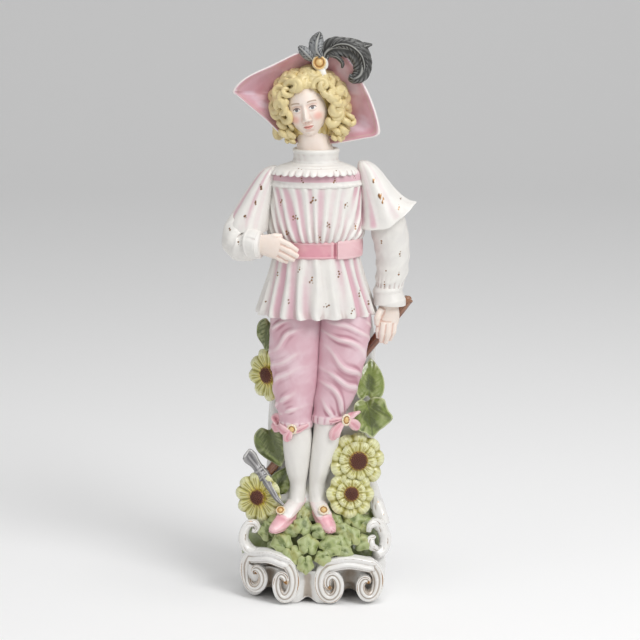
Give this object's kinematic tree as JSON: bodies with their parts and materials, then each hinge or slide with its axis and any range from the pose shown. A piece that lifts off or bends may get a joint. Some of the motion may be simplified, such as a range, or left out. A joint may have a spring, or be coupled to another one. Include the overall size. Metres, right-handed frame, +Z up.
{
  "type": "porcelain figurine",
  "caption": "Standing gardener in a pleated smock, wide hat and breeches, with a mattock, sunflowers and ivy, on a scrolled base.",
  "frame": {"origin": "middle of the footprint's box, on the table", "axes": "+Z up, the figure faces -Y, +X is the viewer's right"},
  "size_m": [0.1098, 0.0624, 0.3204],
  "materials": {
    "white_bisque": "satin",
    "pink_bisque": "satin",
    "skin_bisque": "satin",
    "blond_hair": "satin",
    "black_plume": "satin",
    "gilding": "satin",
    "leaf_green": "satin",
    "ivy_green": "satin",
    "petal_yellow": "satin",
    "seed_brown": "matte",
    "handle_brown": "gloss",
    "steel_grey": "satin"
  },
  "bodies": {
    "root": {"mattock_handle": "handle_brown", "mattock_head": "steel_grey", "hand_right": "skin_bisque", "hand_left": "skin_bisque", "cuff_right": "white_bisque", "cuff_left": "white_bisque", "hat_button": "gilding", "plume_curl": "black_plume", "plume_tuft": "black_plume", "plume_side": "black_plume", "shoe_rosette_left": "gilding", "shoe_rosette_right": "gilding", "shoe_left": "pink_bisque", "shoe_right": "pink_bisque", "knee_button_left": "gilding", "knee_button_right": "gilding", "knee_bow_left": "pink_bisque", "knee_bow_right": "pink_bisque", "belt_loop": "pink_bisque", "belt": "pink_bisque", "collar": "white_bisque", "ruffle": "white_bisque", "head": "skin_bisque", "forearm_left": "white_bisque", "forearm_right": "white_bisque", "cape_sleeve_left": "white_bisque", "cape_sleeve_right": "white_bisque", "bodice": "white_bisque", "yoke": "white_bisque", "smock_skirt": "white_bisque", "breeches_left": "pink_bisque", "breeches_right": "pink_bisque", "stocking_left": "white_bisque", "stocking_right": "white_bisque", "hair": "blond_hair", "hat": "pink_bisque", "seed_disc_upper_right": "seed_brown", "seed_disc_lower_right": "seed_brown", "seed_disc_lower_left": "seed_brown", "seed_disc_upper_left": "seed_brown", "sunflower_upper_right": "petal_yellow", "sunflower_lower_right": "petal_yellow", "sunflower_lower_left": "petal_yellow", "sunflower_upper_left": "petal_yellow", "leaf_upper_left": "leaf_green", "leaf_middle_left": "leaf_green", "leaf_lower_left": "leaf_green", "leaf_upper_right": "leaf_green", "leaf_middle_right": "leaf_green", "ivy_leaf_1": "ivy_green", "ivy_leaf_2": "ivy_green", "ivy_leaf_3": "ivy_green", "ivy_leaf_4": "ivy_green", "ivy_leaf_5": "ivy_green", "front_scroll_left": "white_bisque", "front_scroll_right": "white_bisque", "side_scroll_left": "white_bisque", "side_scroll_right": "white_bisque", "rock": "white_bisque", "plinth": "white_bisque"}
  },
  "joints": []
}
